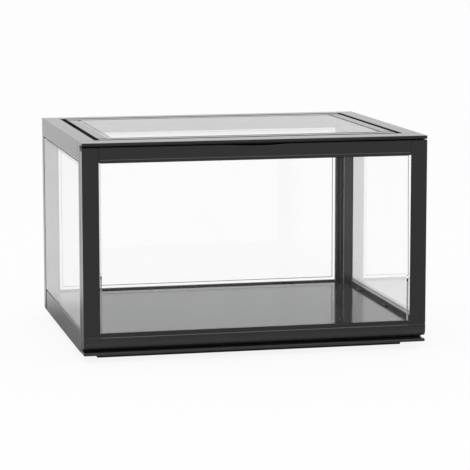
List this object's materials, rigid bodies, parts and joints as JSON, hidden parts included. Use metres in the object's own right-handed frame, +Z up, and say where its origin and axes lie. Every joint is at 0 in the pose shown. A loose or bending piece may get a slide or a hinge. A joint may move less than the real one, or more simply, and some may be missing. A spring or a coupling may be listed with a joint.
{
  "type": "figurine display case",
  "caption": "Low rectangular display case with a slim black frame, clear panes, a glossy floor board, a drop-down glazed front door and a stacking groove in the top that takes the plinth.",
  "frame": {"origin": "centre of the plinth's underside, on the surface the case stands on", "axes": "+Z up, the door faces -Y, +X to the right of a person who looks at the door"},
  "size_m": [0.4, 0.3212, 0.2483],
  "materials": {
    "black_frame": "glossy black",
    "black_board": "mirror-like black",
    "black_base": "satin black",
    "clear_pane": "polished, clear",
    "dark_steel": "blackened",
    "bright_steel": "plated"
  },
  "bodies": {
    "case": {"base_plate": "black_frame", "side_rail_left": "black_frame", "side_rail_right": "black_frame", "rear_rail": "black_frame", "floor_clip_left_front": "black_frame", "floor_clip_left_rear": "black_frame", "floor_clip_right_front": "black_frame", "floor_clip_right_rear": "black_frame", "front_sill": "black_frame", "post_left": "black_frame", "post_right": "black_frame", "jamb_left": "black_frame", "jamb_right": "black_frame", "header": "black_frame", "top_rail_left": "black_frame", "top_rail_right": "black_frame", "top_rail_rear": "black_frame", "inner_bar_front": "black_frame", "inner_bar_rear": "black_frame", "inner_bar_left": "black_frame", "inner_bar_right": "black_frame", "plinth_front": "black_base", "plinth_rear": "black_base", "plinth_left": "black_base", "plinth_right": "black_base", "bearer_front": "black_base", "bearer_rear": "black_base", "ledge_front": "black_base", "ledge_rear": "black_base", "ledge_left": "black_base", "ledge_right": "black_base", "floor_board": "black_board", "pane_left": "clear_pane", "pane_right": "clear_pane", "pane_rear": "clear_pane", "pane_top": "clear_pane", "strike_left": "dark_steel", "strike_right": "dark_steel", "hinge_lug_left": "dark_steel", "hinge_lug_right": "dark_steel", "base_screw_left_front": "bright_steel", "base_screw_left_rear": "bright_steel", "base_screw_right_front": "bright_steel", "base_screw_right_rear": "bright_steel"},
    "door": {"door_rail_bottom": "black_frame", "door_rail_top": "black_frame", "door_stile_left": "black_frame", "door_stile_right": "black_frame", "door_retainer_bottom": "black_base", "door_retainer_top": "black_base", "door_retainer_left": "black_base", "door_retainer_right": "black_base", "door_pane": "clear_pane", "door_magnet_left": "bright_steel", "door_magnet_right": "bright_steel", "hinge_pin_left": "dark_steel", "hinge_pin_right": "dark_steel"}
  },
  "joints": [
    {"name": "door_hinge", "type": "hinge", "parent": "case", "child": "door", "pos_m": [0, -0.1536, 0.0218], "axis": [1, 0, 0], "range_deg": [0, 90]}
  ]
}
